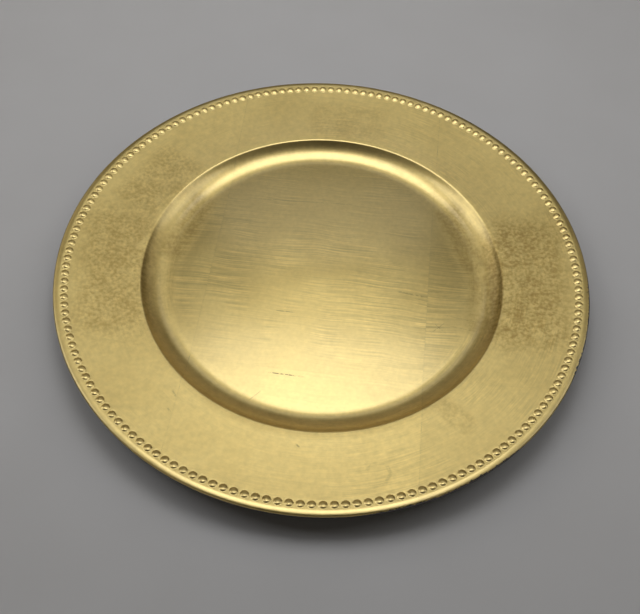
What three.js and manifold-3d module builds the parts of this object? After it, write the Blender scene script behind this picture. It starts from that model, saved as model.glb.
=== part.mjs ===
// Round charger plate: a black plastic moulding whose face and lip are covered with sheets of gold leaf.
// Millimetres, +Z up, origin at the centre of the plate on the surface that it stands on.
import * as THREE from 'three';
import { mergeVertices } from 'three/addons/utils/BufferGeometryUtils.js';
import Module from 'manifold-3d';

const wasm = await Module();
wasm.setup();

const degrees = THREE.MathUtils.degToRad;

// Plate
const PLATE_DIAMETER = 330;
const WALL = 2;

// Foot ring under the floor
const FOOT_HEIGHT = 2;
const FOOT_WIDTH = 3;
const FOOT_INSET = 6;
const FOOT_DRAFT = degrees(5);

// Well, from the crowned floor up a hollow cove to the rounded edge
const WELL_DIAMETER = 228.4;
const WELL_DEPTH = 7.2;
const FLOOR_FALL = degrees(0.6);
const COVE_RADIUS = 23;
const UNDER_EDGE_RADIUS = 0.4;

// Rim, which steepens a little on its way out
const RIM_SLOPE_INNER = degrees(6);
const RIM_SLOPE_OUTER = degrees(11);

// Lip, rolled over and turned down at the outside
const LIP_ROLL_RADIUS = 9;
const LIP_TURN_DOWN = degrees(8);
const LIP_EDGE_RADIUS = 1.2;
const LIP_DEPTH = 3.6;
const LIP_WIDTH = 2.2;

// Beads around the rim
const BEAD_DIAMETER = 4.7;
const BEAD_HEIGHT = 0.9;
const BEAD_GAP = 1.22;
const BEAD_INSET = 6.8;
const BEAD_CORE_DIAMETER = 3.8;
const BEAD_CORE_ROOT = 0.5;

// Gold leaf, laid in columns and rows that are turned on the plate
const LEAF_THICKNESS = 0.3;
const LEAF_GAP = 0.15;
const SHEET_LENGTH = 138.5;
const SHEET_WIDTH = 74;
const SEAM_GAP = 0.3;
const LAY_CENTRE = new THREE.Vector2(-1.75, 2.5);
const LAY_TURN = degrees(-4.6);

// Facets
const BEADS_PER_FACET = 3;
const BEAD_SIDES = 6;
const BEAD_CORE_SIDES = 4;
const COVE_STEPS = 4;
const RIM_STEPS = 2;
const ROUND_STEPS = 2;
const WELD_DISTANCE = 1e-4;

// Sizes that follow from the ones above
const leafTop = LEAF_GAP + LEAF_THICKNESS;
const mouldingRadius = PLATE_DIAMETER / 2 - leafTop;
const beadRingRadius = PLATE_DIAMETER / 2 - BEAD_INSET;
const facetLength = BEADS_PER_FACET * (BEAD_DIAMETER + BEAD_GAP);
const facetCount = Math.round((2 * Math.PI * beadRingRadius) / facetLength);
const beadCount = facetCount * BEADS_PER_FACET;
const beadPitch = (2 * Math.PI) / beadCount;

// Unit normal of a surface that rises outward at the given slope, in the plane of the section.
function normalAt(slope) {
  return new THREE.Vector2(-Math.sin(slope), Math.cos(slope));
}

// One round stretch of the section, leading from a point outward while its slope changes.
// It is hollow where the slope grows and rounded where it falls.
class SectionArc {
  constructor(start, radius, fromSlope, toSlope, steps) {
    this.radius = radius;
    this.fromSlope = fromSlope;
    this.toSlope = toSlope;
    this.steps = steps;
    this.bend = Math.sign(toSlope - fromSlope);
    this.centre = start.clone().addScaledVector(normalAt(fromSlope), this.bend * radius);
  }

  // The point with the given slope, at a distance above the stretch.
  pointAt(slope, offset) {
    const reach = offset - this.bend * this.radius;
    return this.centre.clone().addScaledVector(normalAt(slope), reach);
  }

  end() {
    return this.pointAt(this.toSlope, 0);
  }

  points(offset) {
    const list = [];
    for (let step = 0; step <= this.steps; step += 1) {
      const slope = THREE.MathUtils.lerp(this.fromSlope, this.toSlope, step / this.steps);
      list.push(this.pointAt(slope, offset));
    }
    return list;
  }
}

// The moulding's face: floor, cove, well edge, rim, lip roll and lip edge, each one tangent to the next.
const edgeRadius = UNDER_EDGE_RADIUS + WALL;
const wallSlope = Math.acos(
  (COVE_RADIUS * Math.cos(FLOOR_FALL) + edgeRadius * Math.cos(RIM_SLOPE_INNER) - WELL_DEPTH)
  / (COVE_RADIUS + edgeRadius),
);
const edgeRun = edgeRadius * (Math.sin(wallSlope) - Math.sin(RIM_SLOPE_INNER));
const coveRun = COVE_RADIUS * (Math.sin(wallSlope) + Math.sin(FLOOR_FALL));
const floorRadius = WELL_DIAMETER / 2 - edgeRun - coveRun;
const floorEdge = new THREE.Vector2(floorRadius, FOOT_HEIGHT + WALL);
const lipRun = LIP_ROLL_RADIUS * (Math.sin(RIM_SLOPE_OUTER) + Math.sin(LIP_TURN_DOWN))
  + LIP_EDGE_RADIUS * (1 - Math.sin(LIP_TURN_DOWN));
const rimRun = mouldingRadius - lipRun - WELL_DIAMETER / 2;
const rimRadius = rimRun / (Math.sin(RIM_SLOPE_OUTER) - Math.sin(RIM_SLOPE_INNER));

const cove = new SectionArc(floorEdge, COVE_RADIUS, -FLOOR_FALL, wallSlope, COVE_STEPS);
const wellEdge = new SectionArc(cove.end(), edgeRadius, wallSlope, RIM_SLOPE_INNER, ROUND_STEPS);
const rim = new SectionArc(wellEdge.end(), rimRadius, RIM_SLOPE_INNER, RIM_SLOPE_OUTER, RIM_STEPS);
const lipRoll = new SectionArc(rim.end(), LIP_ROLL_RADIUS, RIM_SLOPE_OUTER, -LIP_TURN_DOWN, ROUND_STEPS);
const lipEdge = new SectionArc(lipRoll.end(), LIP_EDGE_RADIUS, -LIP_TURN_DOWN, -Math.PI / 2, ROUND_STEPS);

// Height of the crowned floor at a radius, at a distance above its face.
function floorHeight(radius, offset) {
  return floorEdge.y + (floorRadius - radius) * Math.tan(FLOOR_FALL) + offset / Math.cos(FLOOR_FALL);
}

// Chains arcs into one run of points, without repeating the points where they meet.
function chain(arcs, offset) {
  return arcs.flatMap((arc, index) => arc.points(offset).slice(index === 0 ? 0 : 1));
}

// The face from the axis out to the edge of the lip, at a distance above the moulding.
function facePoints(offset) {
  const axisPoint = new THREE.Vector2(0, floorHeight(0, offset));
  return [axisPoint, ...chain([cove, wellEdge, rim, lipRoll, lipEdge], offset)];
}

// The underside from the axis out to the bottom of the lip, with the foot ring.
function undersidePoints() {
  const footOuter = floorRadius - FOOT_INSET;
  const footInner = footOuter - FOOT_WIDTH;
  const flare = FOOT_HEIGHT * Math.tan(FOOT_DRAFT);
  const rimEnd = rim.pointAt(RIM_SLOPE_OUTER, -WALL);
  const lipInner = mouldingRadius - LIP_WIDTH;
  const lipBottom = lipRoll.pointAt(0, 0).y - LIP_DEPTH;
  return [
    new THREE.Vector2(0, floorHeight(0, -WALL)),
    new THREE.Vector2(footInner - flare, floorHeight(footInner - flare, -WALL)),
    new THREE.Vector2(footInner, 0),
    new THREE.Vector2(footOuter, 0),
    new THREE.Vector2(footOuter + flare, floorHeight(footOuter + flare, -WALL)),
    ...chain([cove, wellEdge, rim], -WALL),
    new THREE.Vector2(lipInner, rimEnd.y),
    new THREE.Vector2(lipInner, lipBottom),
    new THREE.Vector2(mouldingRadius, lipBottom),
  ];
}

// Turns a closed geometry into a solid that can be joined and cut.
function solidFrom(geometry) {
  const bare = geometry.clone();
  bare.deleteAttribute('normal');
  bare.deleteAttribute('uv');
  const welded = mergeVertices(bare, WELD_DISTANCE);
  const corners = [];
  for (let i = 0; i < welded.index.count; i += 3) {
    const [a, b, c] = [welded.index.getX(i), welded.index.getX(i + 1), welded.index.getX(i + 2)];
    if (a !== b && b !== c && c !== a) corners.push(a, b, c);
  }
  return new wasm.Manifold(new wasm.Mesh({
    numProp: 3,
    vertProperties: new Float32Array(welded.attributes.position.array),
    triVerts: new Uint32Array(corners),
  }));
}

// Revolves a closed section about the plate's axis. Facet corners fall midway between beads.
function revolve(section) {
  const geometry = new THREE.LatheGeometry(section, facetCount, -beadPitch / 2);
  return solidFrom(geometry.rotateX(Math.PI / 2));
}

// A ring of like beads that stand square on the rim, as low points with few sides. The sides slope in
// from the given diameter at the surface up to the crown, and run on at the same slope to a sunk root.
function beadRing({ sides, diameter, height, root, offset }) {
  const slope = Math.asin((beadRingRadius - rim.centre.x) / rim.radius);
  const seat = rim.pointAt(slope, offset);
  const rootDiameter = diameter * (1 + root / height);
  const outline = [
    new THREE.Vector2(0, -root),
    new THREE.Vector2(rootDiameter / 2, -root),
    new THREE.Vector2(0, height),
  ];
  const bead = new THREE.LatheGeometry(outline, sides)
    .rotateX(Math.PI / 2)
    .rotateY(-slope)
    .translate(seat.x, 0, seat.y);
  const beads = [];
  for (let index = 0; index < beadCount; index += 1) {
    beads.push(solidFrom(bead.clone().rotateZ(index * beadPitch)));
  }
  return wasm.Manifold.union(beads);
}

// A named mesh from a finished solid.
function meshFrom(name, solid, finish) {
  const { vertProperties, triVerts } = solid.getMesh();
  const geometry = new THREE.BufferGeometry();
  geometry.setAttribute('position', new THREE.BufferAttribute(new Float32Array(vertProperties), 3));
  geometry.setIndex(new THREE.BufferAttribute(new Uint32Array(triVerts), 1));
  geometry.computeVertexNormals();
  const mesh = new THREE.Mesh(geometry, new THREE.MeshStandardMaterial(finish));
  mesh.name = name;
  return mesh;
}

// The moulding, with a core under each bead.
function buildMoulding() {
  const plate = revolve([...undersidePoints(), ...facePoints(0).reverse()]);
  const cores = beadRing({
    sides: BEAD_CORE_SIDES,
    diameter: BEAD_CORE_DIAMETER,
    height: BEAD_HEIGHT,
    root: BEAD_CORE_ROOT,
    offset: 0,
  });
  return plate.add(cores);
}

// The whole covering of leaf before it is parted into sheets, hollow under each bead.
function buildCovering() {
  const skin = revolve([...facePoints(LEAF_GAP), ...facePoints(leafTop).reverse()]);
  const beads = beadRing({
    sides: BEAD_SIDES,
    diameter: BEAD_DIAMETER,
    height: BEAD_HEIGHT,
    root: LEAF_THICKNESS / 2,
    offset: leafTop,
  });
  const hollows = beadRing({
    sides: BEAD_CORE_SIDES,
    diameter: BEAD_CORE_DIAMETER + 2 * LEAF_GAP,
    height: BEAD_HEIGHT,
    root: LEAF_GAP,
    offset: LEAF_GAP,
  });
  return skin.add(beads).subtract(hollows);
}

// Parts the spaces between and beyond a list of seams, leaving the seam gap open.
function spansBetween(seams) {
  const reach = PLATE_DIAMETER;
  const starts = [-reach, ...seams.map((seam) => seam + SEAM_GAP / 2)];
  const ends = [...seams.map((seam) => seam - SEAM_GAP / 2), reach];
  return starts.map((start, index) => ({ start, end: ends[index] }));
}

// The sheets of leaf, cut from the covering by the turned grid of seams.
function buildSheets() {
  const covering = buildCovering();
  const columnSeams = [-0.5, 0.5].map((share) => LAY_CENTRE.x + share * SHEET_LENGTH);
  const rowSeams = [-1, 0, 1].map((share) => LAY_CENTRE.y + share * SHEET_WIDTH);
  const columns = spansBetween(columnSeams);
  const rows = spansBetween(rowSeams);
  const sheets = [];
  ['front', 'lower', 'upper', 'back'].forEach((rowName, row) => {
    ['left', 'middle', 'right'].forEach((columnName, column) => {
      const across = columns[column];
      const along = rows[row];
      const cell = new THREE.BoxGeometry(across.end - across.start, along.end - along.start, PLATE_DIAMETER)
        .translate((across.start + across.end) / 2, (along.start + along.end) / 2, 0)
        .rotateZ(LAY_TURN);
      sheets.push({ name: `leaf_${rowName}_${columnName}`, solid: covering.intersect(solidFrom(cell)) });
    });
  });
  return sheets;
}

const BLACK_PLASTIC = { color: 0x17130f, roughness: 0.5, metalness: 0 };
const GOLD_LEAF = { color: 0xbda15c, roughness: 0.38, metalness: 1 };

const plate = new THREE.Group();
plate.add(meshFrom('plate_body', buildMoulding(), BLACK_PLASTIC));
buildSheets().forEach(({ name, solid }) => plate.add(meshFrom(name, solid, GOLD_LEAF)));

export default plate;
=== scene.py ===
"""Looks of a round charger plate: a black plastic moulding with sheets of gold leaf over its face.

Metres, +Z up, origin at the centre of the plate on the surface that it stands on.
"""

import logging
import math
from collections.abc import Callable, Iterable
from dataclasses import dataclass, field, replace
from enum import Enum

import bmesh
import bpy
from mathutils import Matrix, Vector


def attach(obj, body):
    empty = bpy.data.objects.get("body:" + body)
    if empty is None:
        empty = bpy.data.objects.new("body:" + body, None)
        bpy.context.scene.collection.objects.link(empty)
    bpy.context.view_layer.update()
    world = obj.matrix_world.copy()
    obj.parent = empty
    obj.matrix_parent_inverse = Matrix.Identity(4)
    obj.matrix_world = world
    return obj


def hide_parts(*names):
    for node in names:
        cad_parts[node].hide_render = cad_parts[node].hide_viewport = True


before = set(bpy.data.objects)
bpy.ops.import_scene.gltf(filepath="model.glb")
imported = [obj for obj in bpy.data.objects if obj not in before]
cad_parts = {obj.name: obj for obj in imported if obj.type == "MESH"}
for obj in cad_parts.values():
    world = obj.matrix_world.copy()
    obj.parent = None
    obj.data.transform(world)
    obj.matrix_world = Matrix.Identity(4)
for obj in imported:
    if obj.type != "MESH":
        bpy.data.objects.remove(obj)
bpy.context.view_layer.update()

LOG = logging.getLogger("charger_plate")
BODY = "root"
MM = 0.001
FULL_TURN = 2 * math.pi
PLATE_RADIUS = 164.95 * MM
PLATE_AXIS = {"center": (0, 0, 0), "axis": (0, 0, 1)}
MIX_NUMBER_INPUTS = (0, 2, 3)
MIX_COLOUR_INPUTS = (0, 6, 7)
MIX_COLOUR_OUTPUT = 2

Object = bpy.types.Object
Material = bpy.types.Material
Node = bpy.types.Node
NodeTree = bpy.types.NodeTree
MeshPart = bmesh.types.BMVert | bmesh.types.BMEdge | bmesh.types.BMFace
Triple = tuple[float, float, float]
Colour = tuple[float, float, float, float]
Socket = bpy.types.NodeSocket
Value = float | tuple[float, ...] | Socket


class Row(Enum):
    """Rows of leaf, from the near side of the plate to the far side."""

    FRONT = 0
    LOWER = 1
    UPPER = 2
    BACK = 3


class Column(Enum):
    """Columns of leaf, from left to right."""

    LEFT = 0
    MIDDLE = 1
    RIGHT = 2


class Slot(Enum):
    """Material slots of the record."""

    PLASTIC = "black_plastic"
    LEAF = "gold_leaf"


class Picking(Enum):
    """What is picked in a mesh under edit."""

    CORNERS = "VERT"
    EDGES = "EDGE"
    FACES = "FACE"


def deselect_all() -> None:
    """Leaves edit mode and lets go of every object."""
    if bpy.context.mode != "OBJECT":
        bpy.ops.object.mode_set(mode="OBJECT")
    bpy.ops.object.select_all(action="DESELECT")


def take(obj: Object) -> None:
    """Makes an object the only selected one.

    Args:
        obj: The object.
    """
    deselect_all()
    obj.select_set(True)
    bpy.context.view_layer.objects.active = obj


def edit(obj: Object, picking: Picking = Picking.CORNERS) -> bmesh.types.BMesh:
    """Opens an object in edit mode with all of its mesh selected.

    Args:
        obj: The mesh object.
        picking: What is picked in it.

    Returns:
        The mesh under edit.
    """
    take(obj)
    bpy.ops.object.mode_set(mode="EDIT")
    bpy.ops.mesh.select_mode(type=picking.value)
    bpy.ops.mesh.select_all(action="SELECT")
    return bmesh.from_edit_mesh(obj.data)


def pick(obj: Object, parts: Iterable[MeshPart], chosen: Callable[[MeshPart], bool]) -> None:
    """Selects only the parts of the mesh under edit that pass a test.

    Args:
        obj: The object in edit mode.
        parts: Its vertices, edges or faces.
        chosen: The test.
    """
    bpy.ops.mesh.select_all(action="DESELECT")
    for part in parts:
        if chosen(part):
            part.select_set(True)
    bmesh.update_edit_mesh(obj.data)


def turn(obj: Object, angles: Triple, place: Vector | Triple = (0, 0, 0)) -> None:
    """Turns and moves an object about the origin and leaves its own frame unturned.

    Args:
        obj: The object.
        angles: Angles about X, Y and Z.
        place: Where its origin goes.
    """
    take(obj)
    obj.rotation_euler = angles
    obj.location = place
    bpy.ops.object.transform_apply(location=True, rotation=True, scale=True)


def merge(name: str, parts: list[Object], reach: float = 0.01 * MM) -> Object:
    """Joins objects into one mesh, closes the seams between them and turns all faces to one side.

    Args:
        name: Name of the result.
        parts: The objects.
        reach: Corners nearer than this become one.

    Returns:
        The joined object.
    """
    take(parts[0])
    for part in parts[1:]:
        part.select_set(True)
    bpy.ops.object.join()
    joined = bpy.context.view_layer.objects.active
    joined.name = name
    joined.data.name = name
    edit(joined)
    bpy.ops.mesh.remove_doubles(threshold=reach)
    bpy.ops.mesh.normals_make_consistent(inside=False)
    bpy.ops.object.mode_set(mode="OBJECT")
    return joined


def set_form(obj: Object, modifier: bpy.types.Modifier, smooth_below: float) -> None:
    """Applies an object's modifier and shades its round surfaces smooth.

    Args:
        obj: The object.
        modifier: Its modifier.
        smooth_below: Edges with a larger angle stay sharp.
    """
    take(obj)
    bpy.ops.object.modifier_apply(modifier=modifier.name)
    bpy.ops.object.shade_smooth_by_angle(angle=smooth_below)


def settle(piece: Object, node: str, finish: Material) -> None:
    """Gives a finished piece its material and lets it stand for its node.

    Args:
        piece: The piece.
        node: The node of the model that it stands for.
        finish: Its material.
    """
    piece.data.materials.clear()
    piece.data.materials.append(finish)
    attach(piece, BODY)
    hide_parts(node)
    LOG.info("%s: %d faces, stands for %s", piece.name, len(piece.data.polygons), node)


@dataclass(frozen=True)
class Point:
    """A point of the section."""

    radius: float
    height: float

    def vector(self) -> Vector:
        """The point on the section's plane, which is that of X and Z."""
        return Vector((self.radius, 0, self.height))


@dataclass(frozen=True)
class Arc:
    """One round stretch of the section, hollow where its slope grows and rounded where it falls."""

    start: Point
    bend_radius: float
    from_slope: float
    to_slope: float

    @property
    def bend(self) -> int:
        """1 where the stretch is hollow, -1 where it is rounded."""
        return 1 if self.to_slope > self.from_slope else -1

    @property
    def centre(self) -> Point:
        """Centre of the stretch.

        Returns:
            The point that the stretch bends about.
        """
        reach = self.bend * self.bend_radius
        return Point(
            self.start.radius - reach * math.sin(self.from_slope),
            self.start.height + reach * math.cos(self.from_slope),
        )

    def reach(self, offset: float) -> float:
        """Signed distance from the centre, along the normal, to the surface at an offset."""
        return offset - self.bend * self.bend_radius

    def slope_at(self, radius: float, offset: float = 0) -> float:
        """The slope at a radius, at a distance above the stretch."""
        return math.asin((self.centre.radius - radius) / self.reach(offset))

    def at_slope(self, slope: float, offset: float = 0) -> Point:
        """Finds the point with a slope.

        Args:
            slope: The slope.
            offset: Distance above the stretch.

        Returns:
            The point.
        """
        reach = self.reach(offset)
        return Point(
            self.centre.radius - reach * math.sin(slope),
            self.centre.height + reach * math.cos(slope),
        )

    def at_radius(self, radius: float, offset: float = 0) -> Point:
        """The point at a radius, at a distance above the stretch."""
        return self.at_slope(self.slope_at(radius, offset), offset)

    def end(self) -> Point:
        """The point where the next stretch begins."""
        return self.at_slope(self.to_slope)


@dataclass(frozen=True)
class Section:
    """Section of the plastic moulding, from its sizes."""

    outer_radius: float
    wall: float = 2 * MM
    foot_height: float = 2 * MM
    foot_width: float = 3 * MM
    foot_inset: float = 6 * MM
    foot_draft: float = math.radians(5)
    well_radius: float = 114.2 * MM
    well_depth: float = 7.2 * MM
    floor_fall: float = math.radians(0.6)
    cove_radius: float = 23 * MM
    edge_radius: float = 1.8 * MM
    rim_slope_inner: float = math.radians(6)
    rim_slope_outer: float = math.radians(11)
    lip_roll_radius: float = 10 * MM
    lip_turn_down: float = math.radians(6)
    lip_edge_radius: float = 0.6 * MM
    lip_depth: float = 3.6 * MM
    lip_width: float = 2.2 * MM

    @property
    def wall_slope(self) -> float:
        """Slope of the well's wall where the cove turns into the rounded edge.

        Returns:
            The slope at which the two stretches together rise by the well's depth.
        """
        rise = (
            self.cove_radius * math.cos(self.floor_fall)
            + self.edge_radius * math.cos(self.rim_slope_inner)
            - self.well_depth
        )
        return math.acos(rise / (self.cove_radius + self.edge_radius))

    @property
    def floor_edge(self) -> Point:
        """The end of the floor.

        Returns:
            The point where the cove begins.
        """
        edge_run = self.edge_radius * (math.sin(self.wall_slope) - math.sin(self.rim_slope_inner))
        cove_run = self.cove_radius * (math.sin(self.wall_slope) + math.sin(self.floor_fall))
        return Point(self.well_radius - edge_run - cove_run, self.foot_height + self.wall)

    @property
    def cove(self) -> Arc:
        """The hollow from the floor to the wall."""
        return Arc(self.floor_edge, self.cove_radius, -self.floor_fall, self.wall_slope)

    @property
    def well_edge(self) -> Arc:
        """The rounded edge between the wall and the rim."""
        return Arc(self.cove.end(), self.edge_radius, self.wall_slope, self.rim_slope_inner)

    @property
    def rim(self) -> Arc:
        """The rim, a little dished.

        Returns:
            The stretch that fills the space between the well's edge and the lip.
        """
        lip_turn = math.sin(self.rim_slope_outer) + math.sin(self.lip_turn_down)
        lip_run = self.lip_roll_radius * lip_turn
        edge_run = self.lip_edge_radius * (1 - math.sin(self.lip_turn_down))
        run = self.outer_radius - lip_run - edge_run - self.well_radius
        bend_radius = run / (math.sin(self.rim_slope_outer) - math.sin(self.rim_slope_inner))
        return Arc(self.well_edge.end(), bend_radius, self.rim_slope_inner, self.rim_slope_outer)

    @property
    def lip_roll(self) -> Arc:
        """The rolled top of the lip."""
        return Arc(self.rim.end(), self.lip_roll_radius, self.rim_slope_outer, -self.lip_turn_down)

    @property
    def lip_edge(self) -> Arc:
        """The tight outer edge of the lip."""
        return Arc(self.lip_roll.end(), self.lip_edge_radius, -self.lip_turn_down, -math.pi / 2)

    def floor_point(self, radius: float, offset: float = 0) -> Point:
        """A point of the crowned floor, at a distance above it."""
        rise = (self.floor_edge.radius - radius) * math.tan(self.floor_fall)
        return Point(radius, self.floor_edge.height + rise + offset / math.cos(self.floor_fall))


class SectionPen:
    """Draws a run of the section edge by edge and spins it about the plate's axis."""

    def __init__(self, name: str, start: Point) -> None:
        """Sets the pen down.

        Args:
            name: Name of the run.
            start: The point where it begins.
        """
        deselect_all()
        bpy.ops.mesh.primitive_plane_add(size=MM, location=(0, 0, 0))
        self.run = bpy.context.view_layer.objects.active
        self.run.name = name
        edit(self.run)
        bpy.ops.mesh.merge(type="CENTER")
        bpy.ops.transform.translate(value=start.vector())
        self.at = start

    def line_to(self, point: Point) -> None:
        """Draws a straight edge.

        Args:
            point: Where it ends.
        """
        step = point.vector() - self.at.vector()
        bpy.ops.mesh.extrude_vertices_move(TRANSFORM_OT_translate={"value": step})
        self.at = point

    def arc_along(self, arc: Arc, offset: float, to_slope: float, steps: int) -> None:
        """Draws a round stretch from where the pen is.

        Args:
            arc: The stretch of the section that is followed.
            offset: Distance above it.
            to_slope: Slope where the drawing stops.
            steps: Number of edges.
        """
        from_slope = arc.slope_at(self.at.radius, offset)
        bpy.ops.mesh.spin(
            steps=steps,
            angle=to_slope - from_slope,
            center=arc.centre.vector(),
            axis=(0, 1, 0),
            use_auto_merge=False,
        )
        self.at = arc.at_slope(to_slope, offset)

    def spin(self, segments: int, first_angle: float) -> Object:
        """Spins the run right round.

        Args:
            segments: Number of steps round the plate.
            first_angle: Direction of the first step, so that runs meet corner to corner.

        Returns:
            The spun object.
        """
        turn(self.run, (0, 0, first_angle))
        edit(self.run)
        bpy.ops.mesh.spin(steps=segments, angle=FULL_TURN, **PLATE_AXIS)
        bpy.ops.object.mode_set(mode="OBJECT")
        return self.run


@dataclass(frozen=True)
class BeadRing:
    """The ring of low domes inside the lip, one of which is modelled and copied round the plate.

    Attributes:
        ring_radius: Distance of a bead's middle from the plate's axis.
        count: Number of beads.
        diameter: Width of a bead at its foot.
        height: Height of its crown above the rim.
        fullness: Power of the dome's curve; the higher, the flatter its crown.
        lean: Angle that the crown is turned from the rim's slope.
        moat_width: Width of the shallow channel round a bead.
        moat_depth: Its depth.
        sides: Number of corners round a bead, a multiple of four.
        dome_steps: Shares of the bead's radius at which the dome has a ring of corners.
    """

    ring_radius: float = 158.2 * MM
    count: int = 168
    diameter: float = 4.7 * MM
    height: float = 0.55 * MM
    fullness: float = 4.0
    lean: float = math.radians(6)
    moat_width: float = 0.35 * MM
    moat_depth: float = 0.03 * MM
    sides: int = 12
    dome_steps: tuple[float, ...] = (0.9, 0.72, 0.46)

    @property
    def pitch(self) -> float:
        """Angle from one bead to the next."""
        return FULL_TURN / self.count

    @property
    def border_steps(self) -> int:
        """Edges along a side of a bead's square cell, which has as many corners as the bead."""
        return self.sides // 4

    @property
    def segments(self) -> int:
        """Steps round the plate at which the cells have corners."""
        return self.count * self.border_steps

    @property
    def first_angle(self) -> float:
        """Direction of one of those corners."""
        return -self.pitch / 2

    @property
    def half_cell(self) -> float:
        """Half the width of a cell, along and across the ring."""
        return self.ring_radius * self.pitch / 2

    @property
    def band_start(self) -> float:
        """Radius of the cells' inner sides."""
        return self.ring_radius - self.half_cell

    @property
    def band_end(self) -> float:
        """Radius of the cells' outer sides."""
        return self.ring_radius + self.half_cell

    def cores(self, gap: float) -> "BeadRing":
        """The plastic cores under these beads: a gap lower, and two gaps narrower at each side."""
        return replace(self, diameter=self.diameter - 4 * gap, height=self.height - gap)

    def dome_height(self, share: float) -> float:
        """Height of the dome at a share of its radius."""
        return self.height * (1 - share**self.fullness)

    def border(self, section: Section, offset: float) -> Object:
        """The outline of the first cell, on the surface at an offset.

        Args:
            section: The plate's section.
            offset: Distance above the plastic.

        Returns:
            A loop of edges.
        """
        pen = SectionPen("bead_cell", section.rim.at_radius(self.band_start, offset))
        pen.line_to(section.lip_roll.at_radius(self.band_end, offset))
        turn(pen.run, (0, 0, self.first_angle))
        edit(pen.run, Picking.EDGES)
        bpy.ops.mesh.subdivide(number_cuts=self.border_steps - 1)
        bpy.ops.mesh.select_all(action="SELECT")
        bpy.ops.mesh.spin(steps=self.border_steps, angle=-self.pitch, **PLATE_AXIS)
        mesh = bmesh.from_edit_mesh(pen.run.data)
        pick(pen.run, mesh.edges, lambda rib: not rib.is_boundary)
        bpy.ops.mesh.delete(type="EDGE")
        bpy.ops.object.mode_set(mode="OBJECT")
        return pen.run

    def dome(self, section: Section, offset: float) -> Object:
        """The first bead, from its moat up to its crown.

        Args:
            section: The plate's section.
            offset: Distance of the bead's seat above the plastic.

        Returns:
            An open dome.
        """
        deselect_all()
        foot = self.diameter / 2
        bpy.ops.mesh.primitive_circle_add(
            vertices=self.sides, radius=foot + self.moat_width, fill_type="NGON"
        )
        bead = bpy.context.view_layer.objects.active
        edit(bead, Picking.FACES)
        inward = math.cos(math.pi / self.sides)
        bpy.ops.mesh.inset(thickness=self.moat_width * inward, depth=-self.moat_depth)
        share, level = 1.0, -self.moat_depth
        for next_share in self.dome_steps:
            next_level = self.dome_height(next_share)
            step_in = (share - next_share) * foot * inward
            bpy.ops.mesh.inset(thickness=step_in, depth=next_level - level)
            bpy.ops.transform.rotate(
                value=self.lean / len(self.dome_steps),
                orient_axis="Y",
                center_override=(0, 0, next_level),
            )
            share, level = next_share, next_level
        bpy.ops.mesh.poke(offset=self.height - level)
        turn(bead, (0, 0, math.pi / self.sides))
        slope = section.rim.slope_at(self.ring_radius, offset)
        turn(bead, (0, -slope, 0), section.rim.at_slope(slope, offset).vector())
        return bead

    def lift(self, section: Section, offset: float) -> Vector:
        """How far a bead is held up, square to the rim, while it is bridged to its cell."""
        slope = section.rim.slope_at(self.ring_radius, offset)
        return Vector((-math.sin(slope), 0, math.cos(slope))) * self.diameter

    def build(self, section: Section, offset: float) -> Object:
        """The whole band of cells, each with its bead.

        Args:
            section: The plate's section.
            offset: Distance of the band above the plastic.

        Returns:
            The band as one open mesh.
        """
        lift = self.lift(section, offset)
        bead = self.dome(section, offset)
        turn(bead, (0, 0, 0), lift)
        cell = merge("bead_band", [self.border(section, offset), bead])
        mesh = edit(cell, Picking.EDGES)
        pick(cell, mesh.edges, lambda rib: rib.is_boundary or rib.is_wire)
        bpy.ops.mesh.bridge_edge_loops()
        mesh = bmesh.from_edit_mesh(cell.data)
        pick(cell, mesh.verts, lambda corner: not corner.is_boundary)
        bpy.ops.transform.translate(value=-lift)
        bpy.ops.mesh.select_all(action="SELECT")
        copies = self.count - 1
        bpy.ops.mesh.spin(steps=copies, dupli=True, angle=copies * self.pitch, **PLATE_AXIS)
        bpy.ops.object.mode_set(mode="OBJECT")
        return cell


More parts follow.
